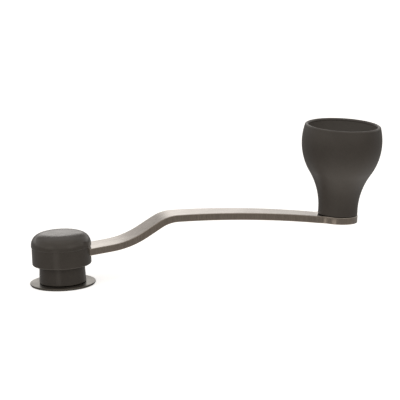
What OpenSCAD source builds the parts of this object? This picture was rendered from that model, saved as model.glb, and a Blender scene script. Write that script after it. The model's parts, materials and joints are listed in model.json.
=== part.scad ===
// Window crank operator: a flat cranked bar with a splined hub at one end and
// a free-spinning cup-shaped knob at the other. All sizes are millimetres.
// Origin: the hub axis at the back face of the wall gasket. +Z leaves the
// wall, +X runs along the arm towards the knob.

/* [Arm] */
// Distance from the hub axis to the middle of the knob's eye
throw_len = 110; // [90:1:130]
// Thickness of the flat bar
arm_t = 2.75; // [1.8:0.05:3.3]
// Width of the bar at the hub
arm_w_hub = 11.4; // [8:0.1:12.4]
// Width of the bar at the knob
arm_w_knob = 9; // [6:0.1:11]
// Radius of the round eye under the knob
eye_r = 7.75; // [6.5:0.05:9]
// Radius of the hollow corner between the bar and the eye
eye_fillet = 5; // [2:0.5:8]
// Radius of the round end inside the hub
hub_eye_r = 7.3; // [6.4:0.1:8]

/* [Arm bends] */
// How far inside the skirt's face the bar starts to rise
rise_in = 2.2; // [0.5:0.05:2.5]
// First gentle slope, in degrees
rise_angle = 4; // [0:0.5:8]
// Length of the straight stretch on the first slope
rise_len = 7.9; // [4:0.1:12]
// Steepest slope of the step, in degrees
step_angle = 28; // [20:0.5:40]
// Length of the straight stretch on the step
step_len = 6.6; // [3:0.1:12]
// Downward slope just past the crest, in degrees
crest_angle = 2.6; // [0:0.1:4]
// Downward slope where the bar reaches the eye, in degrees
end_angle = 10.9; // [7:0.1:12]
// Tilt of the eye and the knob away from the hub, in degrees
knob_tilt = 6.2; // [4:0.1:8]
// Bend radius at the start of the first slope
rise_bend_r = 25; // [20:1:40]
// Bend radius at the foot of the step
foot_bend_r = 34; // [15:1:45]
// Bend radius at the crest
crest_bend_r = 14; // [8:1:25]
// Bend radius beside the eye
eye_bend_r = 20; // [10:1:40]

/* [Escutcheon] */
// Radius of the metal disc against the wall
disc_r = 12.5; // [11:0.1:18]
// Thickness of the metal disc
disc_t = 0.5; // [0.4:0.1:1]
// Thickness of the gasket behind the disc
gasket_t = 0.4; // [0.3:0.1:1]
// Radius of the shaft's way through the disc
disc_hole_r = 5.2; // [4.8:0.1:6]

/* [Hub shell] */
// Radius of the neck where it meets the skirt
neck_r = 8.65; // [8.5:0.05:9.6]
// How much wider the neck is at its foot
neck_draft = 0.3; // [0:0.05:0.6]
// Height of the neck, from the disc to the skirt
neck_h = 7; // [6:0.1:10]
// Radius of the skirt
skirt_r = 11.3; // [10.9:0.05:13.6]
// Height of the skirt
skirt_h = 6.9; // [6.2:0.1:9]
// Wall of the skirt
skirt_wall = 1.45; // [1.2:0.05:1.8]
// Overhang of the cap past the skirt
cap_step = 0.2; // [0:0.05:0.5]
// Space between the hub nut and the inside of the cap
cap_room = 0.53; // [0.3:0.01:3]
// Height of the cap's upright edge, under its dome
cap_band = 0.6; // [0.3:0.1:1.5]
// Fullness of the dome: a higher number is flatter on top and rounder at the side
dome_power = 5.3; // [3:0.1:8]
// Wall of the cap
cap_wall = 1.3; // [1:0.1:1.6]

/* [Hub core] */
// Radius of the splined bore that takes the operator's shaft
shaft_r = 4; // [3:0.05:4.2]
// Number of spline grooves in the bore
spline_n = 12; // [6:1:16]
// Width of one spline groove
spline_w = 0.45; // [0.3:0.05:0.7]
// Depth of one spline groove
spline_d = 0.35; // [0.2:0.05:0.5]
// Outer radius of the core
core_r = 5.8; // [5.3:0.1:6.4]
// Radius of the core's foot flange
foot_r = 7.3; // [6.8:0.1:7.4]
// Thickness of the core's foot flange
foot_t = 1.2; // [0.8:0.1:1.6]
// Radius of the spigot that carries the arm
spigot_r = 4.9; // [4.5:0.1:5.2]
// Distance across the spigot's two flats
spigot_flats = 8.2; // [7:0.1:9]
// Thread radius of the shaft's end and the hub nut
stud_r = 2.5; // [2:0.5:3]

/* [Knob] */
// Height of the knob along its axis
knob_h = 34.9; // [28:0.1:42]
// Radius of the knob's stem
stem_r = 7.6; // [7:0.05:9]
// Largest radius of the knob
belly_r = 15.5; // [13:0.1:18]
// Height of the largest radius
belly_h = 28.4; // [26:0.1:31]
// Radius of the hollow flare above the stem
flare_r = 26; // [20:0.5:30]
// Height where the flare starts
flare_h = 2; // [1:0.1:4]
// Wall of the cup
cup_wall = 1.5; // [1.2:0.1:2.2]
// Height of the cup's floor
cup_floor = 13; // [11.5:0.1:16]

/* [Knob bearing] */
// Radius of the spindle's journal
journal_r = 2.75; // [2:0.05:3]
// Outer radius of the bushes' sleeves
bush_r = 3.75; // [3.5:0.05:4.2]
// Radius of the bushes' flanges
bush_flange_r = 5.2; // [4.8:0.1:5.6]
// Length of each bush under its flange
bush_len = 4.2; // [3:0.1:5]
// Radius of the rivet shank through the arm
rivet_r = 3; // [2.5:0.1:3.5]
// Radius of the spindle's collar
collar_r = 4.6; // [4:0.1:5]

/* [Hidden] */
$fn = 96;

// Clearances
fit_gap = 0.05;   // pieces that seat in one another and don't move
run_gap = 0.05;   // journal in its bush, radially
slip_gap = 0.04;  // faces that turn past each other under light load
turn_gap = 0.15;  // faces that turn past each other and never touch
mould_gap = 0.15; // moulded pieces round the arm and in each other

// Small sizes
edge = 0.3;          // chamfers and rounded edges
friction_t = 0.5;    // friction washer
spring_t = 0.25;     // sheet of both disc springs
spring_h = 0.6;      // height of both disc springs as fitted
lip_h = 0.6;         // peened lip of the core over the arm
lip_over = 0.6;      // how far the lip reaches past the spigot
web_t = 1.6;         // metal between the shaft's end and the arm's seat
seat_drop = 0.33;    // the arm's seat, below the middle of the skirt
washer_t = 0.6;      // plain washer and lock washer
washer_r = 2 * stud_r;
lock_washer_r = 1.9 * stud_r;
tooth_root_r = 1.45 * stud_r;
tooth_n = 8;         // slots between the lock washer's teeth
tooth_gap = 0.6;     // width of each slot
nut_flats = 3.2 * stud_r;
nut_h = 2.7;
stud_gap = 0.25;     // play round the stud, radially
stud_way_r = stud_r + stud_gap;
thrust_t = 0.4;      // thrust washer under the knob
bush_flange_t = 0.8;
top_washer_t = 0.5;
ring_t = 0.6;        // retaining ring
ring_depth = 0.6;    // its groove in the spindle
ring_over = 1.4;     // how far it reaches past the journal
ring_mouth = 0.9;    // half its mouth, as a share of its inner radius
plier_r = 0.5;       // holes in its two ends
plier_at = 0.62;     // their places, as a share of its outer radius
spindle_end = 0.8;   // spindle past the retaining ring
collar_t = 0.8;
peen_h = 0.5;        // peened head under the eye
peen_over = 1.2;
boss_wall = 1.3;     // inner boss of the housing
rib_t = 1;
rib_n = 6;
snap_r = 0.25;       // snap bead of the cap
plug_depth = 2.6;    // cap's plug inside the skirt
plug_wall = 1;
cup_fillet = 2.5;    // corner between the cup's wall and floor
eye_lead = 1.5;      // flat stretch of the bar before the eye
arc_n = 16;          // segments in one arc of an outline
dome_n = 24;         // segments in the dome's outline
through = 60;        // long enough to pass right through the part

// Heights in the hub, from the wall out
disc_top = gasket_t + disc_t;
friction_top = disc_top + friction_t;
foot_z = friction_top + spring_h;
foot_top = foot_z + foot_t;
neck_foot_z = disc_top + turn_gap;
skirt_z = disc_top + neck_h;
seat_z = skirt_z + skirt_h / 2 - seat_drop;
arm_top_z = seat_z + arm_t;
skirt_top_z = skirt_z + skirt_h;
lip_top_z = arm_top_z + lip_h;
nut_z = lip_top_z + 2 * washer_t;
cap_r = skirt_r + cap_step;
cap_top_z = nut_z + nut_h + cap_room + cap_wall;
snap_z = skirt_top_z - 0.6 * plug_depth;

// Radii in the hub
counterbore_r = foot_r + mould_gap;
boss_r = core_r + fit_gap + boss_wall;
cavity_r = skirt_r - skirt_wall;
cavity_z = skirt_z + skirt_wall;
plug_r = cavity_r - mould_gap;
notch_w = arm_w_hub + 2 * mould_gap;

// Heights on the knob's axis, from the top of the eye
knob_foot = 0.2;
thrust_z = collar_t + slip_gap;
lower_flange_z = thrust_z + thrust_t + slip_gap;
lower_seat_z = lower_flange_z + bush_flange_t;
upper_seat_z = cup_floor - bush_flange_t;
top_washer_z = cup_floor + slip_gap;
knob_spring_z = top_washer_z + top_washer_t;
ring_z = knob_spring_z + spring_h;
spindle_top = ring_z + ring_t + fit_gap + spindle_end;
knob_bore_r = bush_r + fit_gap;

// The bar's middle line, side on: each point is [x, z, slope]
function go(p, len) = [p[0] + len * cos(p[2]), p[1] + len * sin(p[2]), p[2]];
function bend(p, a, r) = [
  p[0] + r * abs(sin(a) - sin(p[2])),
  p[1] + r * (cos(p[2]) - cos(a)) * sign(a - p[2]),
  a
];
function bend_points(p, a, r, first = 0) = [
  for (i = [first : arc_n]) bend(p, p[2] + (a - p[2]) * i / arc_n, r)
];
bar_start = [-hub_eye_r - 1, seat_z + arm_t / 2, 0];
rise_foot = [skirt_r - rise_in, bar_start[1], 0];
rise_p = go(bend(rise_foot, rise_angle, rise_bend_r), rise_len);
step_p = go(bend(rise_p, step_angle, foot_bend_r), step_len);
crest_p = bend(step_p, -crest_angle, crest_bend_r);
crown_end_x = throw_len - eye_r - eye_lead;
bar_crown_r = (crown_end_x - crest_p[0]) / (sin(end_angle) - sin(crest_angle));
crown_p = bend(crest_p, -end_angle, bar_crown_r);
eye_p = bend(crown_p, -knob_tilt, eye_bend_r);
bar_line = concat(
  [bar_start],
  bend_points(rise_foot, rise_angle, rise_bend_r),
  bend_points(rise_p, step_angle, foot_bend_r),
  bend_points(step_p, -crest_angle, crest_bend_r),
  bend_points(crest_p, -end_angle, bar_crown_r, 1),
  bend_points(crown_p, -knob_tilt, eye_bend_r, 1),
  [go(eye_p, 3 * eye_r)]
);
function bar_face(p, side) = [
  p[0] - side * sin(p[2]) * arm_t / 2,
  p[1] + side * cos(p[2]) * arm_t / 2
];
eye_face = bar_face(eye_p, 1);
eye_z = eye_face[1] - (throw_len - eye_face[0]) * tan(knob_tilt);

// The knob's outline: a hollow flare that runs into a full belly. The two arcs
// touch, which sets the belly's radius. inset moves the outline inwards.
flare_c = [stem_r + flare_r, flare_h];
belly_dh = belly_h - flare_h;
belly_dr = flare_c[0] - belly_r;
belly_arc_r = (flare_r * flare_r - belly_dr * belly_dr - belly_dh * belly_dh)
  / (2 * (belly_dr - flare_r));
belly_c = [belly_r - belly_arc_r, belly_h];
function touch_h(inset) =
  flare_h + belly_dh * (flare_r + inset) / (flare_r + belly_arc_r);
function flare_at(h, inset) =
  flare_c[0] - sqrt(pow(flare_r + inset, 2) - pow(h - flare_h, 2));
function belly_at(h, inset) =
  belly_c[0] + sqrt(pow(belly_arc_r - inset, 2) - pow(h - belly_h, 2));
function knob_at(h, inset) =
  h <= flare_h ? stem_r - inset
  : h <= touch_h(inset) ? flare_at(h, inset) : belly_at(h, inset);
knob_rows = 3 * arc_n;
rim_h = knob_h - cup_wall / 2;
rim_r = (knob_at(rim_h, 0) - knob_at(rim_h, cup_wall)) / 2;

// Puts the children on the top of the eye, with +Z along the knob's axis
module at_eye() {
  translate([throw_len, 0, eye_z])
    rotate([0, knob_tilt, 0])
      children();
}

module ring(outer, inner, z, t) {
  translate([0, 0, z])
    difference() {
      cylinder(r = outer, h = t);
      translate([0, 0, -1])
        cylinder(r = inner, h = t + 2);
    }
}

// A dished ring whose outer edge is lowest
module dished_ring(outer, inner, z, t, rise) {
  translate([0, 0, z])
    rotate_extrude()
      polygon([[outer, 0], [outer, t], [inner, rise], [inner, rise - t]]);
}

// A slice with two flats, as on the core's spigot
module double_d(r, flats, z, h) {
  intersection() {
    translate([0, 0, z])
      cylinder(r = r, h = h);
    translate([-flats / 2, -2 * r, z - 1])
      cube([flats, 4 * r, h + 2]);
  }
}

// ---- pieces that stay on the wall ----

module panel_gasket() {
  color([0.10, 0.10, 0.10])
    ring(disc_r - edge, disc_hole_r, 0, gasket_t);
}

module escutcheon_plate() {
  color([0.66, 0.64, 0.61])
    difference() {
      translate([0, 0, gasket_t])
        rotate_extrude()
          polygon([
            [0, 0], [disc_r - disc_t / 4, 0], [disc_r, disc_t / 4],
            [disc_r, disc_t * 3 / 4], [disc_r - disc_t / 4, disc_t], [0, disc_t]
          ]);
      translate([0, 0, -1])
        cylinder(r = disc_hole_r, h = disc_top + 2);
    }
}

module friction_washer() {
  color([0.86, 0.84, 0.78])
    ring(foot_r - edge, disc_hole_r, disc_top, friction_t);
}

// ---- the crank ----

module disc_spring() {
  color([0.50, 0.49, 0.47])
    dished_ring(foot_r - edge, disc_hole_r, friction_top + slip_gap, spring_t, spring_h - slip_gap);
}

module hub_core() {
  color([0.62, 0.61, 0.58])
    difference() {
      union() {
        ring(foot_r, shaft_r, foot_z, foot_t);
        ring(core_r, shaft_r, foot_z, seat_z - web_t - foot_z);
        ring(core_r, stud_way_r, seat_z - web_t, web_t);
        difference() {
          double_d(spigot_r, spigot_flats, seat_z, arm_t);
          cylinder(r = stud_way_r, h = cap_top_z);
        }
        translate([0, 0, arm_top_z])
          rotate_extrude()
            polygon([
              [stud_way_r, 0], [spigot_r + lip_over, 0],
              [spigot_r + lip_over - edge, lip_h], [stud_way_r, lip_h]
            ]);
      }
      // lead-in at the mouth of the bore
      translate([0, 0, foot_z - edge])
        cylinder(r1 = shaft_r + 2 * edge, r2 = shaft_r, h = 2 * edge);
      // spline grooves
      for (i = [0 : spline_n - 1])
        rotate([0, 0, i * 360 / spline_n])
          translate([shaft_r - 1, -spline_w / 2, foot_z - 1])
            cube([1 + spline_d, spline_w, seat_z - web_t - foot_z + 1]);
    }
}

module hub_housing() {
  color([0.15, 0.14, 0.13])
    difference() {
      union() {
        difference() {
          rotate_extrude()
            polygon([
              [0, neck_foot_z], [neck_r + neck_draft, neck_foot_z], [neck_r, skirt_z],
              [skirt_r - edge, skirt_z], [skirt_r, skirt_z + edge],
              [skirt_r, skirt_top_z], [0, skirt_top_z]
            ]);
          translate([0, 0, cavity_z])
            cylinder(r = cavity_r, h = skirt_h);
          // groove for the cap's snap bead
          rotate_extrude()
            polygon([
              [plug_r - snap_r, snap_z - 2 * snap_r], [cavity_r, snap_z - 2 * snap_r],
              [cavity_r + snap_r, snap_z], [cavity_r, snap_z + 2 * snap_r],
              [plug_r - snap_r, snap_z + 2 * snap_r]
            ]);
        }
        translate([0, 0, cavity_z - 1])
          cylinder(r = boss_r, h = seat_z - fit_gap - cavity_z + 1);
        intersection() {
          translate([0, 0, cavity_z - 1])
            cylinder(r = cavity_r + skirt_wall / 2, h = seat_z - mould_gap - cavity_z + 1);
          for (i = [0 : rib_n / 2 - 1])
            rotate([0, 0, (i + 0.5) * 360 / rib_n])
              translate([-skirt_r, -rib_t / 2, cavity_z - 1])
                cube([2 * skirt_r, rib_t, skirt_h]);
        }
      }
      // way for the core and its foot flange
      cylinder(r = core_r + fit_gap, h = skirt_top_z);
      cylinder(r = counterbore_r, h = foot_top + fit_gap);
      // notch for the arm, open at the top
      translate([0, -notch_w / 2, seat_z - mould_gap])
        cube([2 * skirt_r, notch_w, skirt_h]);
    }
}

module arm_outline() {
  half = arm_w_knob / 2;
  fillet_x = -sqrt(pow(eye_r + eye_fillet, 2) - pow(half + eye_fillet, 2));
  touch = eye_r / (eye_r + eye_fillet);
  circle(r = eye_r);
  polygon([
    [0, half], [fillet_x, half], [-throw_len, arm_w_hub / 2],
    [-throw_len, -arm_w_hub / 2], [fillet_x, -half], [0, -half]
  ]);
  for (side = [-1, 1])
    difference() {
      polygon([
        [fillet_x, 0], [fillet_x, side * half],
        [fillet_x * touch, side * (half + eye_fillet) * touch], [0, 0]
      ]);
      translate([fillet_x, side * (half + eye_fillet)])
        circle(r = eye_fillet);
    }
}

module arm() {
  color([0.78, 0.75, 0.71])
    difference() {
      intersection() {
        rotate([90, 0, 0])
          linear_extrude(height = through, center = true)
            polygon(concat(
              [for (p = bar_line) bar_face(p, 1)],
              [for (i = [len(bar_line) - 1 : -1 : 0]) bar_face(bar_line[i], -1)]
            ));
        union() {
          at_eye()
            linear_extrude(height = through, center = true)
              arm_outline();
          cylinder(r = hub_eye_r, h = through);
        }
      }
      double_d(spigot_r + fit_gap, spigot_flats + 2 * fit_gap, 0, through);
      at_eye()
        translate([0, 0, -2 * arm_t])
          cylinder(r = rivet_r + fit_gap, h = 4 * arm_t);
    }
}

module plain_washer() {
  color([0.70, 0.69, 0.66])
    ring(washer_r, stud_way_r, lip_top_z, washer_t);
}

module lock_washer() {
  color([0.55, 0.54, 0.52])
    difference() {
      ring(lock_washer_r, stud_way_r, lip_top_z + washer_t, washer_t);
      for (i = [0 : tooth_n - 1])
        rotate([0, 0, i * 360 / tooth_n])
          translate([tooth_root_r, -tooth_gap / 2, lip_top_z])
            cube([stud_r, tooth_gap, 3 * washer_t]);
    }
}

module hub_nut() {
  color([0.72, 0.71, 0.68])
    translate([0, 0, nut_z])
      difference() {
        intersection() {
          cylinder(r = nut_flats / sqrt(3), h = nut_h, $fn = 6);
          cylinder(r1 = nut_flats / 2 + nut_h, r2 = nut_flats / 2, h = nut_h);
        }
        translate([0, 0, -1])
          cylinder(r = stud_r, h = nut_h + 2);
      }
}

// Half outline of a dome from its side in to the axis: a superellipse whose
// points crowd together towards the top
function dome_points(r, low, high) = [
  for (i = [0 : dome_n])
    let (a = 90 * (1 - pow(1 - i / dome_n, 2)))
    [r * pow(cos(a), 2 / dome_power), low + (high - low) * sin(a)]
];

module hub_cap() {
  plug_in = plug_r - plug_wall;
  plug_z = skirt_top_z - plug_depth;
  bead_r = plug_r + snap_r - mould_gap / 2;
  tongue_z = arm_top_z + mould_gap;
  dome_z = skirt_top_z + cap_band;
  inner = dome_points(plug_in, dome_z, cap_top_z - cap_wall);
  color([0.15, 0.14, 0.13])
    difference() {
      union() {
        rotate_extrude()
          polygon(concat(
            [[plug_in, plug_z], [plug_r, plug_z],
             [plug_r, snap_z - snap_r], [bead_r, snap_z], [plug_r, snap_z + snap_r],
             [plug_r, skirt_top_z], [cap_r, skirt_top_z]],
            dome_points(cap_r, dome_z, cap_top_z),
            [for (i = [len(inner) - 1 : -1 : 0]) inner[i]]
          ));
        // tongue that fills the notch over the arm
        intersection() {
          ring(skirt_r, plug_in + plug_wall / 2, seat_z, skirt_top_z + edge - seat_z);
          translate([0, mould_gap - notch_w / 2, seat_z])
            cube([2 * skirt_r, notch_w - 2 * mould_gap, skirt_h]);
        }
      }
      // way for the arm
      translate([0, -notch_w / 2, 0])
        cube([2 * skirt_r, notch_w, tongue_z]);
    }
}

// ---- the knob's bearing ----

module knob_spindle() {
  color([0.66, 0.65, 0.62])
    at_eye()
      rotate_extrude()
        polygon([
          [0, -arm_t - peen_h], [rivet_r + peen_over - peen_h, -arm_t - peen_h],
          [rivet_r + peen_over, -arm_t], [rivet_r, -arm_t], [rivet_r, 0],
          [collar_r, 0], [collar_r, collar_t], [journal_r, collar_t],
          [journal_r, ring_z], [journal_r - ring_depth, ring_z],
          [journal_r - ring_depth, ring_z + ring_t + fit_gap],
          [journal_r, ring_z + ring_t + fit_gap],
          [journal_r, spindle_top - edge], [journal_r - edge, spindle_top],
          [0, spindle_top]
        ]);
}

module retaining_ring() {
  ring_r = journal_r + ring_over;
  seat_r = journal_r - ring_depth + fit_gap / 2;
  color([0.35, 0.34, 0.33])
    at_eye()
      translate([0, 0, ring_z + fit_gap / 2])
        difference() {
          cylinder(r = ring_r, h = ring_t);
          translate([0, 0, -1])
            cylinder(r = seat_r, h = ring_t + 2);
          translate([-ring_mouth * seat_r, 0, -1])
            cube([2 * ring_mouth * seat_r, 2 * ring_r, ring_t + 2]);
          for (side = [-1, 1])
            translate([side * ring_r * plier_at, -ring_r * plier_at, -1])
              cylinder(r = plier_r, h = ring_t + 2);
        }
}

module bush(z, up) {
  translate([0, 0, z])
    mirror([0, 0, up ? 1 : 0])
      difference() {
        union() {
          translate([0, 0, -bush_flange_t])
            cylinder(r = bush_flange_r, h = bush_flange_t);
          cylinder(r = bush_r, h = bush_len);
        }
        translate([0, 0, -bush_flange_t - 1])
          cylinder(r = journal_r + run_gap, h = bush_len + bush_flange_t + 2);
      }
}

module lower_bush() {
  color([0.88, 0.86, 0.80])
    at_eye()
      bush(lower_seat_z, false);
}

module upper_bush() {
  color([0.88, 0.86, 0.80])
    at_eye()
      bush(upper_seat_z, true);
}

module thrust_washer() {
  color([0.80, 0.66, 0.38])
    at_eye()
      ring(bush_flange_r, journal_r + run_gap, thrust_z, thrust_t);
}

module top_washer() {
  color([0.70, 0.69, 0.66])
    at_eye()
      ring(bush_flange_r - edge, journal_r + fit_gap, top_washer_z, top_washer_t);
}

module knob_spring() {
  color([0.50, 0.49, 0.47])
    at_eye()
      dished_ring(bush_flange_r - 2 * edge, journal_r + fit_gap, knob_spring_z, spring_t, spring_h);
}

module knob_body() {
  corner_h = cup_floor + cup_fillet;
  corner_r = knob_at(corner_h, cup_wall) - cup_fillet;
  cup_top = rim_h - corner_h;
  outside = concat(
    [[0, knob_foot], [stem_r - edge, knob_foot]],
    [for (i = [0 : knob_rows])
      let (h = knob_foot + edge + (rim_h - knob_foot - edge) * i / knob_rows)
      [knob_at(h, 0), h]]
  );
  rim = [for (i = [1 : arc_n - 1]) let (a = 180 * i / arc_n)
    [knob_at(rim_h, 0) - rim_r + rim_r * cos(a), rim_h + rim_r * sin(a)]];
  inside = concat(
    [for (i = [0 : knob_rows]) let (h = rim_h - cup_top * i / knob_rows) [knob_at(h, cup_wall), h]],
    [for (i = [1 : arc_n / 2]) let (a = 180 * i / arc_n)
      [corner_r + cup_fillet * cos(a), corner_h - cup_fillet * sin(a)]],
    [[0, cup_floor]]
  );
  color([0.14, 0.13, 0.12])
    at_eye()
      difference() {
        rotate_extrude()
          polygon(concat(outside, rim, inside));
        cylinder(r = knob_bore_r, h = cup_floor + 1);
        cylinder(r = bush_flange_r + turn_gap, h = lower_seat_z);
        translate([0, 0, upper_seat_z])
          cylinder(r = bush_flange_r + fit_gap, h = bush_flange_t + 1);
      }
}

panel_gasket();
escutcheon_plate();
friction_washer();
disc_spring();
hub_core();
hub_housing();
arm();
plain_washer();
lock_washer();
hub_nut();
hub_cap();
knob_spindle();
knob_body();
lower_bush();
upper_bush();
thrust_washer();
top_washer();
knob_spring();
retaining_ring();
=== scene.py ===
"""Looks of the window crank operator.

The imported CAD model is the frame. The pieces that show (arm, knob, hub cap,
hub housing, escutcheon and gasket) are rebuilt here with rounded edges and
smooth surfaces, and everything gets a procedural material. Shapes are drawn in
millimetres and turned into metres by new_object and mm. The light and the
camera are placed in metres.
"""
import json
from math import acos, asin, atan2, cos, hypot, pi, radians, sin, sqrt, tan

import bmesh
import bpy
from mathutils import Matrix, Vector


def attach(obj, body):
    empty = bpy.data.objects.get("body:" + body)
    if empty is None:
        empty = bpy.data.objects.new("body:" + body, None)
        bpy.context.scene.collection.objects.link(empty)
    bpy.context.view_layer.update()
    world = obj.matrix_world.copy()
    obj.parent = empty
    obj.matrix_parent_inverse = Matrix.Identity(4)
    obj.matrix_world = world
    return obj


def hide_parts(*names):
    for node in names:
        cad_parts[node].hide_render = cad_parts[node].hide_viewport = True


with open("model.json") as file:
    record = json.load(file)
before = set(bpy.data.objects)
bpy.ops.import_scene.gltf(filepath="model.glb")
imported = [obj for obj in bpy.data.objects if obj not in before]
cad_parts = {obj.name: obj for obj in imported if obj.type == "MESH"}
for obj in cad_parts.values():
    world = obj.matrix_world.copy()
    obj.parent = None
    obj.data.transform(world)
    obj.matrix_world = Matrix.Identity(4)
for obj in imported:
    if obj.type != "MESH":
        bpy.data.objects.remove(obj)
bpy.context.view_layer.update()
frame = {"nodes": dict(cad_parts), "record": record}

MM = 0.001


def mm(value):
    """Millimetres to metres."""
    return value * MM


# ---------------------------------------------------------------- sizes (mm)
# The values that the CAD source has or works out. Angles are in degrees.

FIT_GAP = 0.05         # pieces that seat in one another and don't move
SLIP_GAP = 0.04        # faces that turn past each other under light load
TURN_GAP = 0.15        # faces that turn past each other and never touch
MOULD_GAP = 0.15       # moulded pieces round the arm and in each other

# Arm
THROW = 110.0          # hub axis to the middle of the eye
ARM_T = 2.75
ARM_W_HUB = 11.4
ARM_W_KNOB = 9.0
EYE_R = 7.75
EYE_FILLET = 5.0
HUB_EYE_R = 7.3
RIVET_R = 3.0          # the spindle's shank through the eye
SPIGOT_R = 4.9         # the core's spigot through the bar
SPIGOT_FLATS = 8.2

# The arm's slopes, bends and straight stretches, from the hub to the eye
RISE_IN = 2.2          # where the bar starts to rise, inside the skirt's face
RISE_ANGLE = 4.0
RISE_BEND_R = 25.0
RISE_LEN = 7.9
STEP_ANGLE = 28.0
FOOT_BEND_R = 34.0
STEP_LEN = 6.6
CREST_ANGLE = 2.6      # this slope and the two below go down
END_ANGLE = 10.9
KNOB_TILT = 6.2
CREST_BEND_R = 14.0
EYE_BEND_R = 20.0
EYE_LEAD = 1.5         # from the end of the long curve to the eye's edge

# Escutcheon and gasket
DISC_R = 12.5
DISC_T = 0.5
GASKET_T = 0.4
GASKET_IN = 0.3        # the gasket's edge, inside the disc's
DISC_HOLE_R = 5.2
DISC_TOP = GASKET_T + DISC_T

# Hub core, friction washer and disc spring
CORE_R = 5.8
FOOT_R = 7.3
FOOT_T = 1.2
FRICTION_T = 0.5
SPRING_H = 0.6
FOOT_TOP = DISC_TOP + FRICTION_T + SPRING_H + FOOT_T

# Hub housing
NECK_R = 8.65
NECK_DRAFT = 0.3
NECK_H = 7.0
SKIRT_R = 11.3
SKIRT_H = 6.9
SKIRT_WALL = 1.45
BOSS_WALL = 1.3
RIB_N = 6
RIB_T = 1.0
SEAT_DROP = 0.33       # the arm's seat, below the middle of the skirt
COUNTERBORE_R = FOOT_R + MOULD_GAP
BOSS_R = CORE_R + FIT_GAP + BOSS_WALL
SKIRT_Z = DISC_TOP + NECK_H
SKIRT_TOP = SKIRT_Z + SKIRT_H
SEAT_Z = SKIRT_Z + SKIRT_H / 2 - SEAT_DROP
ARM_TOP = SEAT_Z + ARM_T
CAVITY_R = SKIRT_R - SKIRT_WALL
CAVITY_Z = SKIRT_Z + SKIRT_WALL
NOTCH_W = ARM_W_HUB + 2 * MOULD_GAP

# Hub cap
CAP_STEP = 0.2         # overhang past the skirt
CAP_H = 5.3
CAP_BAND = 0.6         # upright edge under the dome
CAP_WALL = 1.3
DOME_POWER = 5.3
PLUG_R = CAVITY_R - MOULD_GAP
PLUG_DEPTH = 2.6
PLUG_WALL = 1.0
SNAP_R = 0.25
SNAP_Z = SKIRT_TOP - 0.6 * PLUG_DEPTH

# Knob and its bearing; heights are from the top of the eye
KNOB_H = 34.9
KNOB_FOOT = 0.2
STEM_R = 7.6
BELLY_R = 15.5
BELLY_H = 28.4
FLARE_R = 26.0
FLARE_H = 2.0
CUP_WALL = 1.5
CUP_FLOOR = 13.0
CUP_FILLET = 2.5
COLLAR_T = 0.8
THRUST_T = 0.4
BUSH_R = 3.75
BUSH_FLANGE_R = 5.2
BUSH_FLANGE_T = 0.8
LOWER_SEAT = COLLAR_T + SLIP_GAP + THRUST_T + SLIP_GAP + BUSH_FLANGE_T
UPPER_SEAT = CUP_FLOOR - BUSH_FLANGE_T
KNOB_BORE_R = BUSH_R + FIT_GAP

# Only here: roundings, and how the meshes are divided and shaded
ARM_EDGE = 0.22
DISC_EDGE = 0.12
CRISP = 0.1            # edges that hardly show
SUPPORT = 0.04         # a row this near a rounding keeps the flat beside it flat
ROW_GAP = 0.8          # step along the bar; turned straights over this get supports
SMOOTH_DEG = 35        # edges with a larger angle stay sharp


# ------------------------------------------------------------- shared curves

def go(p, length):
    """A straight stretch of the bar's middle line; p is (x, z, slope)."""
    return (p[0] + length * cos(p[2]), p[1] + length * sin(p[2]), p[2])


def bend(p, slope, radius):
    """The end of a bend of that radius, from p to a new slope."""
    side = 1 if slope > p[2] else -1
    dx = radius * abs(sin(slope) - sin(p[2]))
    dz = radius * (cos(p[2]) - cos(slope)) * side
    return (p[0] + dx, p[1] + dz, slope)


def bar_line():
    """The bar's middle line as stretches: (start, end slope, radius or None, length)."""
    stretches = []
    p = (-HUB_EYE_R, SEAT_Z + ARM_T / 2, 0.0)

    def straight(length):
        nonlocal p
        stretches.append((p, p[2], None, length))
        p = go(p, length)

    def turn(slope_deg, radius):
        nonlocal p
        slope = radians(slope_deg)
        stretches.append((p, slope, radius, radius * abs(slope - p[2])))
        p = bend(p, slope, radius)

    straight(HUB_EYE_R + SKIRT_R - RISE_IN)
    turn(RISE_ANGLE, RISE_BEND_R)
    straight(RISE_LEN)
    turn(STEP_ANGLE, FOOT_BEND_R)
    straight(STEP_LEN)
    turn(-CREST_ANGLE, CREST_BEND_R)
    long_reach = THROW - EYE_R - EYE_LEAD - p[0]
    turn(-END_ANGLE, long_reach / (sin(radians(END_ANGLE)) - sin(radians(CREST_ANGLE))))
    turn(-KNOB_TILT, EYE_BEND_R)
    straight(4 * EYE_R)        # on past the middle of the eye
    return stretches


BAR = bar_line()


def on_bar(u):
    """Middle line at the distance u along it from its hub end: (x, z, slope)."""
    for start, slope, radius, length in BAR[:-1]:
        if u <= length:
            if radius is None:
                return go(start, u)
            part = start[2] + (slope - start[2]) * u / length
            return start if part == start[2] else bend(start, part, radius)
        u -= length
    return go(BAR[-1][0], u)


def eye_place():
    """Top of the eye: its height, and the distance along the bar to its middle."""
    start = BAR[-1][0]
    top_x = start[0] - ARM_T / 2 * sin(start[2])
    top_z = start[1] + ARM_T / 2 * cos(start[2])
    eye_z = top_z - (THROW - top_x) * tan(radians(KNOB_TILT))
    before = sum(s[3] for s in BAR[:-1])
    return eye_z, before + (THROW - top_x) / cos(radians(KNOB_TILT))


EYE_Z, EYE_U = eye_place()
AT_EYE = Matrix.Translation((THROW, 0, EYE_Z)) @ Matrix.Rotation(radians(KNOB_TILT), 4, "Y")


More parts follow.
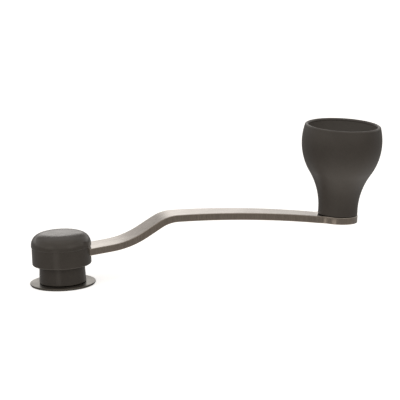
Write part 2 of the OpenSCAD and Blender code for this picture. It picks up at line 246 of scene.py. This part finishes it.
def knob_at(h, inset):
    """Radius of the knob's outline at the height h, moved inwards by inset."""
    rise = BELLY_H - FLARE_H
    gap = STEM_R + FLARE_R - BELLY_R
    belly_arc = (FLARE_R ** 2 - gap ** 2 - rise ** 2) / (2 * (gap - FLARE_R))
    touch = FLARE_H + rise * (FLARE_R + inset) / (FLARE_R + belly_arc)
    if h <= FLARE_H:
        return STEM_R - inset
    if h <= touch:
        return STEM_R + FLARE_R - sqrt((FLARE_R + inset) ** 2 - (h - FLARE_H) ** 2)
    return BELLY_R - belly_arc + sqrt((belly_arc - inset) ** 2 - (h - BELLY_H) ** 2)


# ------------------------------------------------------------------- meshing

def shade(mesh):
    """Smooth shading, apart from the edges over SMOOTH_DEG."""
    mesh.shade_smooth()
    mesh.set_sharp_from_angle(angle=radians(SMOOTH_DEG))


def new_object(name, bm):
    """Turns a bmesh in millimetres into an object in metres."""
    bmesh.ops.recalc_face_normals(bm, faces=bm.faces)
    bm.transform(Matrix.Scale(MM, 4))
    mesh = bpy.data.meshes.new(name)
    bm.to_mesh(mesh)
    bm.free()
    obj = bpy.data.objects.new(name, mesh)
    bpy.context.scene.collection.objects.link(obj)
    shade(mesh)
    return obj


def rounded(corners, closed=True, steps=6):
    """An outline of (radius, height, rounding) corners as (radius, height, edge value) points.

    The edge value rises from 0 at the ends of a rounding to 1 in its middle. The materials
    lighten edges by it, partly as wear and partly as a painted highlight.
    """
    points = []
    count = len(corners)
    for i, (a, b, radius) in enumerate(corners):
        here = Vector((a, b))
        if radius <= 0 or (not closed and i in (0, count - 1)):
            points.append((a, b, 0.0))
            continue
        back = (Vector(corners[i - 1][:2]) - here).normalized()
        on = (Vector(corners[(i + 1) % count][:2]) - here).normalized()
        half = acos(max(-1.0, min(1.0, back.dot(on)))) / 2
        reach = radius / tan(half)
        middle = here + (back + on).normalized() * (radius / sin(half))
        first = here + back * reach - middle
        last = here + on * reach - middle
        sweep = atan2(first.x * last.y - first.y * last.x, first.dot(last))
        for k in range(steps + 1):
            t = sweep * k / steps
            spot = middle + Vector((
                first.x * cos(t) - first.y * sin(t), first.x * sin(t) + first.y * cos(t)))
            points.append((spot.x, spot.y, sin(pi * k / steps)))
    return points


def supported(profile, closed):
    """Adds a point near both ends of every long straight, so that it stays flat when shaded."""
    points = []
    pairs = list(zip(profile, profile[1:] + profile[:1]))
    for i, (a, b) in enumerate(pairs):
        points.append(a)
        length = hypot(b[0] - a[0], b[1] - a[1])
        if length < ROW_GAP or (not closed and i == len(pairs) - 1):
            continue
        for t in (SUPPORT / length, 1 - SUPPORT / length):
            points.append((a[0] + (b[0] - a[0]) * t, a[1] + (b[1] - a[1]) * t, 0.0))
    return points


def lathe(name, profile, closed=True, segments=192, matrix=None):
    """Turns (radius, height, edge value) points about Z. The edge value, which is partly wear and
    partly a painted highlight, is kept as a vertex value.
    """
    profile = supported(profile, closed)
    bm = bmesh.new()
    wear_and_sheen = bm.verts.layers.float.new("wear_and_sheen")
    rings = []
    for r, z, w in profile:
        if r == 0:
            pole = bm.verts.new((0, 0, z))
            pole[wear_and_sheen] = w
            rings.append([pole])
            continue
        ring = []
        for k in range(segments):
            a = 2 * pi * k / segments
            v = bm.verts.new((r * cos(a), r * sin(a), z))
            v[wear_and_sheen] = w
            ring.append(v)
        rings.append(ring)
    pairs = list(zip(rings, rings[1:]))
    if closed:
        pairs.append((rings[-1], rings[0]))
    for low, high in pairs:
        if len(low) == 1 and len(high) == 1:
            continue
        for k in range(segments):
            n = (k + 1) % segments
            corners = [low[k % len(low)], low[n % len(low)],
                       high[n % len(high)], high[k % len(high)]]
            bm.faces.new(list(dict.fromkeys(corners)))
    if matrix is not None:
        bm.transform(matrix)
    return new_object(name, bm)


def mark(obj, name, test):
    """Stores 1 on the vertices whose place (mm) passes the test, for the material."""
    value = obj.data.attributes.new(name, "FLOAT", "POINT")
    for i, v in enumerate(obj.data.vertices):
        value.data[i].value = float(test(v.co / MM))


def block(name, low, high):
    """A plain box, used only to cut or to fill."""
    bm = bmesh.new()
    bmesh.ops.create_cube(bm, size=1)
    for v in bm.verts:
        v.co = Vector((high[i] if v.co[i] > 0 else low[i]) for i in range(3))
    return new_object(name, bm)


def arc_block(inner, outer, half_width, low, high, steps=10):
    """A block between two radii and two heights, |y| under half_width, on the +X side."""
    bm = bmesh.new()
    rows = []
    for k in range(steps + 1):
        y = half_width * (2 * k / steps - 1)
        near = sqrt(inner ** 2 - y * y)
        far = sqrt(outer ** 2 - y * y)
        rows.append([bm.verts.new(c) for c in (
            (near, y, low), (far, y, low), (far, y, high), (near, y, high))])
    for one, two in zip(rows, rows[1:]):
        for k in range(4):
            bm.faces.new((one[k], one[(k + 1) % 4], two[(k + 1) % 4], two[k]))
    bm.faces.new(rows[0])
    bm.faces.new(rows[-1][::-1])
    return new_object("arc_block", bm)


def double_d(radius, flats, low, high, steps=24):
    """A bar with two flats that cuts the hole for the core's spigot."""
    bm = bmesh.new()
    turn = asin(flats / 2 / radius)
    outline = []
    for k in range(steps + 1):
        a = pi / 2 + turn - 2 * turn * k / steps
        outline.append((radius * cos(a), radius * sin(a)))
    outline += [(-x, -y) for x, y in outline]
    loops = [[bm.verts.new((x, y, z)) for x, y in outline] for z in (low, high)]
    count = len(outline)
    for k in range(count):
        n = (k + 1) % count
        bm.faces.new((loops[0][k], loops[0][n], loops[1][n], loops[1][k]))
    bm.faces.new(loops[0])
    bm.faces.new(loops[1][::-1])
    return new_object("double_d", bm)


def combine(obj, tools, operation):
    """Cuts or joins the tools into obj, and removes them."""
    for tool in tools:
        step = obj.modifiers.new("step", "BOOLEAN")
        step.operation = operation
        step.solver = "EXACT"
        step.object = tool
        bpy.context.view_layer.objects.active = obj
        bpy.ops.object.modifier_apply(modifier=step.name)
        bpy.data.objects.remove(tool)
    shade(obj.data)


# ----------------------------------------------------------------- materials

# Sockets of the Mix node when it mixes colours
MIX_A, MIX_B, MIX_RESULT = 6, 7, 2

# The part of a noise's range that a narrow, clearer pattern is made from
CLEARER = (0.38, 0.62)


class Nodes:
    """A short way to write a node tree."""

    def __init__(self, tree):
        self.tree = tree

    def add(self, kind, **settings):
        node = self.tree.nodes.new(kind)
        for key, value in settings.items():
            setattr(node, key, value)
        return node

    def link(self, out, into):
        self.tree.links.new(out, into)

    def to_range(self, value, low, high, from_low=0.3, from_high=0.7, shape="LINEAR"):
        """Spreads a value between low and high. The default range is a noise's usual one."""
        node = self.add("ShaderNodeMapRange", interpolation_type=shape)
        node.inputs["From Min"].default_value = from_low
        node.inputs["From Max"].default_value = from_high
        node.inputs["To Min"].default_value = low
        node.inputs["To Max"].default_value = high
        self.link(value, node.inputs["Value"])
        return node.outputs["Result"]

    def maths(self, operation, a, b):
        node = self.add("ShaderNodeMath", operation=operation)
        for socket, value in zip(node.inputs, (a, b)):
            if isinstance(value, (int, float)):
                socket.default_value = value
            else:
                self.link(value, socket)
        return node.outputs["Value"]

    def blend(self, a, b, share):
        """One value made of two, the first with that share."""
        return self.maths("ADD", self.maths("MULTIPLY", a, share),
                          self.maths("MULTIPLY", b, 1 - share))

    def mix(self, factor, low, high):
        node = self.add("ShaderNodeMix", data_type="RGBA")
        self.link(factor, node.inputs["Factor"])
        for socket, value in ((node.inputs[MIX_A], low), (node.inputs[MIX_B], high)):
            if isinstance(value, tuple):
                socket.default_value = (*value, 1)
            else:
                self.link(value, socket)
        return node.outputs[MIX_RESULT]


class Material(Nodes):
    """A material on object coordinates, in metres, so noise scales are per metre."""

    def __init__(self, name):
        self.mat = bpy.data.materials.new(name)
        self.mat.use_nodes = True
        super().__init__(self.mat.node_tree)
        self.shader = self.tree.nodes["Principled BSDF"]
        self.where = self.add("ShaderNodeTexCoord").outputs["Object"]

    def stretch(self, scale):
        """The coordinates multiplied axis by axis."""
        node = self.add("ShaderNodeMapping")
        node.inputs["Scale"].default_value = scale
        self.link(self.where, node.inputs["Vector"])
        return node.outputs["Vector"]

    def noise(self, scale, detail=4.0, rough=0.55, vector=None):
        node = self.add("ShaderNodeTexNoise")
        node.inputs["Scale"].default_value = scale
        node.inputs["Detail"].default_value = detail
        node.inputs["Roughness"].default_value = rough
        self.link(vector or self.where, node.inputs["Vector"])
        return node.outputs["Fac"]

    def value(self, name):
        """A value stored on the mesh's vertices."""
        return self.add("ShaderNodeAttribute", attribute_name=name).outputs["Fac"]

    def bump(self, height, distance_mm, strength, under=None):
        """A normal bumped by a height, on top of another one if it is given."""
        node = self.add("ShaderNodeBump")
        node.inputs["Distance"].default_value = mm(distance_mm)
        node.inputs["Strength"].default_value = strength
        self.link(height, node.inputs["Height"])
        if under is not None:
            self.link(under, node.inputs["Normal"])
        return node.outputs["Normal"]

    def finish(self, colour, rough, normal):
        self.link(colour, self.shader.inputs["Base Color"])
        self.link(rough, self.shader.inputs["Roughness"])
        self.link(normal, self.shader.inputs["Normal"])
        return self.mat


def tint(colour, factor):
    return tuple(factor * c for c in colour)


def black_plastic(name, dark, light, rough):
    """Moulded plastic: a fine spark-eroded grain, faint smudges, and edges rubbed smoother and
    lighter, the lighter part partly wear and partly a painted highlight. The cup's inside is
    painted lighter, as painted light.
    """
    n = Material(name)
    clouds = n.noise(90, 3)
    specks = n.noise(2400, 4, 0.7)
    smudges = n.noise(260, 5, 0.6)
    grain = n.noise(3600, 4, 0.7)
    waves = n.noise(420, 2)
    # painted light: the cup's inside is painted much lighter than the plastic, standing in for
    # light that falls into the cup
    painted_light_cup_colour = (0.19, 0.18, 0.17)
    worn_and_sheen = n.value("wear_and_sheen")
    colour = n.mix(n.to_range(n.blend(clouds, specks, 0.5), 0, 1, *CLEARER), dark, light)
    colour = n.mix(n.value("inside"), colour, painted_light_cup_colour)
    # rounded edges painted lighter by the edge value: partly rubbed wear, partly a painted
    # highlight
    colour = n.mix(n.maths("MULTIPLY", worn_and_sheen, 0.3), colour, tint(light, 1.3))
    roughness = n.to_range(smudges, rough - 0.05, rough + 0.06)
    roughness = n.maths("SUBTRACT", roughness, n.maths("MULTIPLY", worn_and_sheen, 0.08))
    normal = n.bump(grain, 0.02, 0.6)
    normal = n.bump(waves, 0.02, 0.25, normal)
    return n.finish(colour, roughness, normal)


def plated(name, dark, light, rough, along, sheared_shaded_edge_colour):
    """Satin plate over brushed metal, with darker sheared edges: partly the sheared metal's own
    colour, partly painted shade.
    Rounded edges are lighter, partly wear and partly a painted highlight.

    along is the stretch that makes the brushed lines.
    """
    n = Material(name)
    n.shader.inputs["Metallic"].default_value = 1.0
    lines = n.noise(1.0, 6, 0.7, n.stretch(along))
    clouds = n.noise(70, 3)
    shear_marks = n.noise(1.0, 5, 0.65, n.stretch((1900, 1900, 300)))
    waves = n.noise(160, 2)
    tone = n.blend(lines, clouds, 0.55)
    colour = n.mix(n.to_range(tone, 0, 1, *CLEARER), dark, light)
    # edge faces painted darker: partly sheared metal, partly painted shade
    sheared_and_shaded = n.mix(n.to_range(shear_marks, 0, 1), sheared_shaded_edge_colour, tint(sheared_shaded_edge_colour, 1.35))
    colour = n.mix(n.value("side"), colour, sheared_and_shaded)
    # rounded edges painted lighter: partly wear, partly a painted highlight
    colour = n.mix(n.maths("MULTIPLY", n.value("wear_and_sheen"), 0.6), colour, light)
    roughness = n.to_range(tone, rough + 0.07, rough - 0.05)
    normal = n.bump(lines, 0.004, 0.5)
    normal = n.bump(waves, 0.03, 0.25, normal)
    return n.finish(colour, roughness, normal)


def small_metal(name, dark, light, rough):
    """Zinc plate, spring steel or bronze on the small inner pieces."""
    n = Material(name)
    n.shader.inputs["Metallic"].default_value = 1.0
    spots = n.noise(900, 5, 0.65)
    colour = n.mix(n.to_range(spots, 0, 1), dark, light)
    roughness = n.to_range(n.noise(1500, 4), rough - 0.07, rough + 0.1)
    normal = n.bump(n.noise(3500, 3), 0.006, 0.5)
    return n.finish(colour, roughness, normal)


def matt(name, dark, light, rough, scale, depth):
    """Nylon and fibre: matt, with a mottle."""
    n = Material(name)
    fibres = n.noise(scale, 6, 0.7)
    colour = n.mix(n.to_range(fibres, 0, 1), dark, light)
    roughness = n.to_range(fibres, rough - 0.06, rough + 0.06)
    return n.finish(colour, roughness, n.bump(fibres, depth, 0.6))


PLASTIC_HUB = black_plastic("black_plastic_hub", (0.064, 0.058, 0.053),
                            (0.077, 0.070, 0.064), 0.18)
PLASTIC_KNOB = black_plastic("black_plastic_knob", (0.058, 0.052, 0.047),
                             (0.071, 0.064, 0.058), 0.40)
NICKEL = plated("satin_nickel", (0.435, 0.40, 0.365), (0.52, 0.485, 0.45), 0.18,
                along=(60, 1400, 1400), sheared_shaded_edge_colour=(0.39, 0.35, 0.315))
# the disc's edge colour is much darker than its face: partly a stamped edge, partly painted shade
DISC_METAL = plated("satin_disc", (0.21, 0.20, 0.18), (0.275, 0.265, 0.24), 0.30,
                    along=(420, 420, 420), sheared_shaded_edge_colour=(0.12, 0.11, 0.10))
ZINC = small_metal("zinc_steel", (0.50, 0.49, 0.46), (0.66, 0.65, 0.62), 0.30)
SPRING = small_metal("spring_steel", (0.18, 0.17, 0.165), (0.30, 0.29, 0.28), 0.36)
BRONZE = small_metal("bronze", (0.50, 0.33, 0.14), (0.64, 0.46, 0.23), 0.34)
NYLON = matt("nylon", (0.66, 0.63, 0.54), (0.76, 0.74, 0.66), 0.48, 700, 0.01)
FIBRE = matt("fibre", (0.030, 0.028, 0.026), (0.055, 0.052, 0.048), 0.85, 2600, 0.03)


# -------------------------------------------------------------------- pieces

def wall_pieces():
    """The escutcheon with its rolled edge, and the gasket behind it."""
    disc = lathe("escutcheon_disc", rounded([
        (DISC_HOLE_R, GASKET_T, CRISP), (DISC_R, GASKET_T, DISC_EDGE),
        (DISC_R, DISC_TOP, DISC_EDGE), (DISC_HOLE_R, DISC_TOP, DISC_EDGE)]))
    edge_from = DISC_R - DISC_EDGE - SUPPORT / 2
    # marks the disc's edge, which its material paints darker: partly a stamped edge, partly
    # painted shade
    mark(disc, "side", lambda p: hypot(p.x, p.y) > edge_from)
    gasket_r = DISC_R - GASKET_IN
    gasket = lathe("gasket_ring", rounded([
        (DISC_HOLE_R, 0, 0.05), (gasket_r, 0, 0.1),
        (gasket_r, GASKET_T, 0.08), (DISC_HOLE_R, GASKET_T, 0.05)]))
    return [(disc, "wall_plate", "escutcheon_plate", "satin_disc", DISC_METAL),
            (gasket, "wall_plate", "panel_gasket", "fibre", FIBRE)]


def dome(r, low, high, steps=48):
    """Half outline of the cap's dome, from its side in to the axis."""
    points = []
    for k in range(steps + 1):
        a = pi / 2 * (1 - (1 - k / steps) ** 2)
        points.append((r * max(cos(a), 0) ** (2 / DOME_POWER), low + (high - low) * sin(a), 0.0))
    points[-1] = (0.0, high, 0.0)
    return points


def hub_cap():
    """Domed cap with its plug, snap bead and the tongue over the arm."""
    plug_in = PLUG_R - PLUG_WALL
    plug_foot = SKIRT_TOP - PLUG_DEPTH
    bead_r = PLUG_R + 0.7 * SNAP_R
    cap_r = SKIRT_R + CAP_STEP
    cap_top = SKIRT_TOP + CAP_H
    dome_z = SKIRT_TOP + CAP_BAND
    foot = rounded([
        (plug_in, SKIRT_TOP, 0), (plug_in, plug_foot, 0.15), (PLUG_R, plug_foot, 0.2),
        (PLUG_R, SNAP_Z - SNAP_R, 0), (bead_r, SNAP_Z, 0), (PLUG_R, SNAP_Z + SNAP_R, 0),
        (PLUG_R, SKIRT_TOP, 0), (cap_r, SKIRT_TOP, 0.22), (cap_r, dome_z, 0)], closed=False)
    inside = dome(plug_in, dome_z, cap_top - CAP_WALL)
    cap = lathe("hub_cap_shell", foot[:-1] + dome(cap_r, dome_z, cap_top) + inside[::-1])
    tongue_z = ARM_TOP + MOULD_GAP
    way = block("way", (0, -NOTCH_W / 2, 0), (2 * SKIRT_R, NOTCH_W / 2, tongue_z))
    combine(cap, [way], "DIFFERENCE")
    into_plug, into_band = 0.5, 0.3
    tongue = arc_block(PLUG_R - into_plug, SKIRT_R, NOTCH_W / 2 - MOULD_GAP,
                       tongue_z, SKIRT_TOP + into_band)
    combine(cap, [tongue], "UNION")
    return cap


def hub_housing():
    """Neck and skirt in one moulding, with the ribs, the boss and the arm's notch."""
    neck_foot = DISC_TOP + TURN_GAP
    foot_roof = FOOT_TOP + FIT_GAP
    core_way = CORE_R + FIT_GAP
    boss_top = SEAT_Z - FIT_GAP
    groove_half = 2 * SNAP_R
    shell = lathe("hub_housing_shell", rounded([
        (COUNTERBORE_R, neck_foot, CRISP), (NECK_R + NECK_DRAFT, neck_foot, 0.2),
        (NECK_R, SKIRT_Z, 0.35), (SKIRT_R, SKIRT_Z, 0.5), (SKIRT_R, SKIRT_TOP, 0.12),
        (CAVITY_R, SKIRT_TOP, 0.12), (CAVITY_R, SNAP_Z + groove_half, 0),
        (CAVITY_R + SNAP_R, SNAP_Z, 0), (CAVITY_R, SNAP_Z - groove_half, 0),
        (CAVITY_R, CAVITY_Z, 0.3), (BOSS_R, CAVITY_Z, 0.3), (BOSS_R, boss_top, CRISP),
        (core_way, boss_top, CRISP), (core_way, foot_roof, 0),
        (COUNTERBORE_R, foot_roof, CRISP)]))
    floor_z = SEAT_Z - MOULD_GAP
    into_wall, into_boss, off_boss = 0.5, 0.4, 0.4
    ribs = []
    for k in range(RIB_N):
        rib = block("rib", (BOSS_R - into_boss, -RIB_T / 2, CAVITY_Z - into_wall),
                    (CAVITY_R + into_wall, RIB_T / 2, floor_z))
        rib.data.transform(Matrix.Rotation(radians(360 / RIB_N * (k + 0.5)), 4, "Z"))
        ribs.append(rib)
    combine(shell, ribs, "UNION")
    notch = block("notch", (BOSS_R + off_boss, -NOTCH_W / 2, floor_z),
                  (2 * SKIRT_R, NOTCH_W / 2, SKIRT_TOP + 1))
    combine(shell, [notch], "DIFFERENCE")
    return shell


def arm_side(steps=14):
    """One side of the bar's outline: (distance along the bar, half width, outward normal)."""
    hub_u = HUB_EYE_R
    half = ARM_W_KNOB / 2
    fillet_du = sqrt((EYE_R + EYE_FILLET) ** 2 - (half + EYE_FILLET) ** 2)
    fillet_u = EYE_U - fillet_du
    hub_turn = pi - asin(ARM_W_HUB / 2 / HUB_EYE_R)
    points = []
    for k in range(steps * 2 + 1):
        a = pi - hub_turn * k / (steps * 2)
        points.append((hub_u + HUB_EYE_R * cos(a), HUB_EYE_R * sin(a), (cos(a), sin(a))))
    start = points[-1]
    taper = (half - start[1]) / (fillet_u - start[0])
    across = (-taper / hypot(1, taper), 1 / hypot(1, taper))
    count = int((fillet_u - start[0]) / ROW_GAP)
    for k in range(1, count):
        u = start[0] + (fillet_u - start[0]) * k / count
        points.append((u, start[1] + taper * (u - start[0]), across))
    turn = asin(fillet_du / (EYE_R + EYE_FILLET))
    for k in range(steps + 1):
        a = turn * k / steps
        points.append((fillet_u + EYE_FILLET * sin(a), half + EYE_FILLET - EYE_FILLET * cos(a),
                       (-sin(a), cos(a))))
    first = pi / 2 + turn
    for k in range(1, steps * 4 + 1):
        a = first * (1 - k / (steps * 4))
        points.append((EYE_U + EYE_R * cos(a), EYE_R * sin(a), (cos(a), sin(a))))
    return points


def arm():
    """The cranked bar, bent along its middle line, with softly rounded edges."""
    side = arm_side()
    half_t = ARM_T / 2
    edge_rows = 6
    bm = bmesh.new()
    wear_and_sheen = bm.verts.layers.float.new("wear_and_sheen")
    edge = bm.verts.layers.float.new("side")
    # Rows from the upper face round the edge to the lower one: inset, height, edge value (wear
    # and painted highlight), side
    section = [(ARM_EDGE + SUPPORT, half_t, 0.0, 0.0)]
    for k in range(edge_rows + 1):
        a = pi / 2 * k / edge_rows
        # the side value darkens the edge faces: partly sheared metal, partly painted shade
        sheared_and_shaded = 1.0 if k == edge_rows else k / (edge_rows + 2)
        section.append((ARM_EDGE * (1 - sin(a)), half_t - ARM_EDGE * (1 - cos(a)),
                        sin(2 * a), sheared_and_shaded))
    section += [(inset, -h, w, s) for inset, h, w, s in reversed(section)]

    def place(u, y, h):
        x, z, slope = on_bar(u)
        return (x - h * sin(slope), y, z + h * cos(slope))

    def vertex(u, y, h, w, s):
        v = bm.verts.new(place(u, y, h))
        v[wear_and_sheen], v[edge] = w, s
        return v

    loops = []
    last = len(side) - 1
    for inset, h, w, s in section:
        left = [vertex(u - inset * n[0], y - inset * n[1], h, w, s) for u, y, n in side]
        right = [vertex(u - inset * n[0], inset * n[1] - y, h, w, s) for u, y, n in side[1:last]]
        loops.append((left, [left[0]] + right + [left[last]]))
    for upper, lower in zip(loops, loops[1:]):
        for a, b in zip(upper, lower):
            for k in range(last):
                bm.faces.new((a[k], a[k + 1], b[k + 1], b[k]))
    for left, right in (loops[0], loops[-1]):
        for k in range(last):
            corners = list(dict.fromkeys((left[k], left[k + 1], right[k + 1], right[k])))
            bm.faces.new(corners)
    bar = new_object("arm_bar", bm)
    way_r = RIVET_R + FIT_GAP
    past = 5                   # how far the cutters reach past the bar's faces
    past_hub = 2
    rivet_way = [(0, -past, 0), (way_r, -past, 0), (way_r, past, 0), (0, past, 0)]
    cutters = [lathe("rivet_way", rivet_way, closed=False, segments=64, matrix=AT_EYE),
               double_d(SPIGOT_R + FIT_GAP, SPIGOT_FLATS + 2 * FIT_GAP,
                        SEAT_Z - past_hub, ARM_TOP + past_hub)]
    combine(bar, cutters, "DIFFERENCE")
    return bar


def knob():
    """The hollow knob: stem, flare, belly, rounded rim, cup and bearing seats."""
    rim_h = KNOB_H - CUP_WALL / 2
    rim_r = (knob_at(rim_h, 0) - knob_at(rim_h, CUP_WALL)) / 2
    rim_mid = knob_at(rim_h, 0) - rim_r
    corner_h = CUP_FLOOR + CUP_FILLET
    corner_r = knob_at(corner_h, CUP_WALL) - CUP_FILLET
    stem_h = KNOB_FOOT + 1
    lower_r = BUSH_FLANGE_R + TURN_GAP
    upper_r = BUSH_FLANGE_R + FIT_GAP
    side_rows, rim_rows, cup_rows, corner_rows = 90, 16, 60, 12
    foot = rounded([
        (KNOB_BORE_R, UPPER_SEAT, 0), (KNOB_BORE_R, LOWER_SEAT, CRISP),
        (lower_r, LOWER_SEAT, CRISP), (lower_r, KNOB_FOOT, 0.15),
        (STEM_R, KNOB_FOOT, 0.2), (STEM_R, stem_h, 0)], closed=False)
    outline = foot[:-1]
    for k in range(side_rows + 1):
        h = stem_h + (rim_h - stem_h) * k / side_rows
        outline.append((knob_at(h, 0), h, 0.0))
    # the rim's lip gets a high edge value, so it is painted lighter: partly wear, partly a
    # painted highlight
    for k in range(1, rim_rows):
        a = pi * k / rim_rows
        outline.append((rim_mid + rim_r * cos(a), rim_h + rim_r * sin(a), sin(a) ** 2))
    for k in range(cup_rows + 1):
        h = rim_h - (rim_h - corner_h) * k / cup_rows
        outline.append((knob_at(h, CUP_WALL), h, 0.0))
    for k in range(1, corner_rows + 1):
        a = pi / 2 * k / corner_rows
        outline.append((corner_r + CUP_FILLET * cos(a), corner_h - CUP_FILLET * sin(a), 0.0))
    outline += [(lower_r, CUP_FLOOR, 0.3), (upper_r, CUP_FLOOR - 0.1, 0.3),
                (upper_r, UPPER_SEAT, 0.0)]
    shell = lathe("knob_shell", outline, segments=224, matrix=AT_EYE)
    to_knob = AT_EYE.inverted()

    def in_cup(p):
        q = to_knob @ p
        if not CUP_FLOOR - 0.2 < q.z < rim_h - 0.1:
            return False
        return hypot(q.x, q.y) < knob_at(q.z, CUP_WALL / 2)

    # marks the cup's inside, which the plastic's material paints lighter as painted light
    mark(shell, "inside", in_cup)
    return shell


def dress_nodes():
    """Procedural materials for the CAD nodes that stay."""
    looks = {"zinc_steel": ZINC, "spring_steel": SPRING, "bronze": BRONZE, "nylon": NYLON,
             "black_plastic": PLASTIC_HUB, "satin_nickel": NICKEL, "satin_disc": DISC_METAL,
             "fibre": FIBRE}
    slots = {s["node"]: s["material_slot"] for s in frame["record"]["subparts"]}
    for name, obj in frame["nodes"].items():
        for slot in obj.material_slots:
            slot.material = looks[slots[name]]


def set_on_frame(obj, body, node, slot, material):
    """Gives a piece its material and its body, and hides the CAD node that it stands for; slot is
    not used.
    """
    obj.data.materials.append(material)
    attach(obj, body)
    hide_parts(node)


for piece in wall_pieces():
    set_on_frame(*piece)
set_on_frame(hub_cap(), "crank", "hub_cap", "black_plastic", PLASTIC_HUB)
set_on_frame(hub_housing(), "crank", "hub_housing", "black_plastic", PLASTIC_HUB)
set_on_frame(arm(), "crank", "arm", "satin_nickel", NICKEL)
set_on_frame(knob(), "knob", "knob_body", "black_plastic", PLASTIC_KNOB)
dress_nodes()


# --------------------------------------------------------------------- stage

CAMERA_AZIMUTH = radians(-15.2)


def stage_floor():
    """A plain pale floor just under the gasket. Its glow makes the background white."""
    half_size, drop = 6000, 0.02
    bm = bmesh.new()
    bmesh.ops.create_grid(bm, x_segments=1, y_segments=1, size=half_size)
    floor = new_object("floor", bm)
    floor.location.z = mm(-drop)
    n = Material("pale_floor")
    tone = n.mix(n.to_range(n.noise(3, 2), 0, 1), (0.90, 0.90, 0.90), (0.93, 0.93, 0.93))
    rough = n.to_range(n.noise(5), 0.85, 0.9)
    n.shader.inputs["Emission Color"].default_value = (1, 1, 1, 1)
    n.shader.inputs["Emission Strength"].default_value = 0.62
    floor.data.materials.append(n.finish(tone, rough, n.bump(n.noise(20), 0.01, 0.1)))
    floor.visible_glossy = False
    floor.visible_diffuse = False


def soft_box(name, place, target, size, power):
    """A large soft studio light that looks at a point, and isn't seen in reflections."""
    data = bpy.data.lights.new(name, "AREA")
    data.size = size
    data.energy = power
    light = bpy.data.objects.new(name, data)
    light.location = place
    aim = Vector(target) - Vector(place)
    light.rotation_euler = aim.to_track_quat("-Z", "Y").to_euler()
    light.visible_glossy = False
    bpy.context.scene.collection.objects.link(light)


def studio():
    """Surroundings: a bright low backdrop, dim sides and front, a dim ceiling, a pale table."""
    world = bpy.data.worlds.new("studio")
    world.use_nodes = True
    bpy.context.scene.world = world
    n = Nodes(world.node_tree)

    def ramp(value, from_low, from_high, low, high):
        """Goes smoothly from low to high while the value goes between the first two."""
        return n.to_range(value, low, high, from_low, from_high, "SMOOTHSTEP")

    def product(*factors):
        result = factors[0]
        for factor in factors[1:]:
            result = n.maths("MULTIPLY", result, factor)
        return result

    def band(value, middle, half):
        """1 round the middle, and 0 from half a width away."""
        return product(ramp(value, middle - half, middle - half / 2, 0.0, 1.0),
                       ramp(value, middle + half / 2, middle + half, 1.0, 0.0))

    # Directions, turned so that the camera looks along "away"
    turned = n.add("ShaderNodeMapping", vector_type="POINT")
    turned.inputs["Rotation"].default_value = (0, 0, -CAMERA_AZIMUTH)
    n.link(n.add("ShaderNodeTexCoord").outputs["Generated"], turned.inputs["Vector"])
    parts = n.add("ShaderNodeSeparateXYZ")
    n.link(turned.outputs["Vector"], parts.inputs["Vector"])
    across, away, up = parts.outputs

    # The backdrop, fading towards both ends, upwards and downwards
    left_end = n.maths("MAXIMUM", ramp(across, -0.17, -0.07, 0.3, 1.0),
                       ramp(up, 0.21, 0.27, 0.0, 1.0))
    right_end = ramp(across, 0.08, 0.16, 1.0, 0.3)
    slant = ramp(across, -0.295, -0.053, 0.54, 1.0)
    height = product(ramp(up, 0.31, 0.40, 1.0, 0.08), ramp(up, 0.04, 0.24, 0.12, 1.0))
    backdrop = product(ramp(away, 0.10, 0.92, 0.0, 1.24), slant, left_end, right_end, height)

    # The dim rest, and a low light that glints on the edge of the eye
    low_sky = product(ramp(up, 0.0, 0.2, 0.0, 1.0), ramp(up, 0.5, 0.8, 1.0, 0.0))
    front = product(ramp(away, -0.9, -0.3, 0.28, 0.0), low_sky)
    left_side = product(ramp(across, -0.6, -0.35, 0.34, 0.0), low_sky)
    right_side = product(ramp(across, 0.3, 0.55, 0.0, 0.34), low_sky)
    glint = product(band(across, -0.33, 0.24), band(up, -0.22, 0.2),
                    ramp(away, -0.8, -0.6, 0.3, 0.0))
    ceiling = ramp(up, 0.50, 0.95, 0.0, 0.45)
    table = ramp(up, -0.95, -0.3, 0.8, 0.0)
    everywhere = 0.25

    glow = backdrop
    for light in (front, left_side, right_side, glint, ceiling, table, everywhere):
        glow = n.maths("ADD", glow, light)
    warm_front, pale_back = (1.0, 0.92, 0.83), (1.0, 0.965, 0.93)
    colour = n.mix(ramp(away, -0.3, 0.6, 0.0, 1.0), warm_front, pale_back)
    background = n.tree.nodes["Background"]
    n.link(glow, background.inputs["Strength"])
    n.link(colour, background.inputs["Color"])
    soft_box("key", (-0.6, -1.2, 1.6), (0.05, 0, 0.03), 2.0, 5.5)


def camera():
    """Long lens, a little above the object, with the picture turned by a few degrees."""
    azimuth, elevation, roll = CAMERA_AZIMUTH, radians(12.9), radians(2.75)
    distance = 2.5
    picture = 400              # width and height, in pixels
    px_per_m = 2627.0          # at that distance
    origin_px = (63.06 - picture / 2, 283.72 - picture / 2)
    back = Vector((sin(azimuth) * cos(elevation), -cos(azimuth) * cos(elevation), sin(elevation)))
    right = (-back).cross(Vector((0, 0, 1))).normalized()
    down = (-back).cross(right)
    across = right * cos(roll) + down * sin(roll)
    below = down * cos(roll) - right * sin(roll)
    data = bpy.data.cameras.new("camera")
    data.sensor_width = 36
    data.lens = px_per_m * distance * data.sensor_width / picture
    data.clip_start, data.clip_end = 0.05, 50
    cam = bpy.data.objects.new("camera", data)
    aside, lower = origin_px[0] / px_per_m, origin_px[1] / px_per_m
    cam.matrix_world = Matrix((across, -below, back)).transposed().to_4x4()
    cam.location = back * distance - across * aside - below * lower
    bpy.context.scene.collection.objects.link(cam)
    bpy.context.scene.camera = cam


stage_floor()
studio()
camera()
bpy.context.scene.view_settings.view_transform = "Standard"
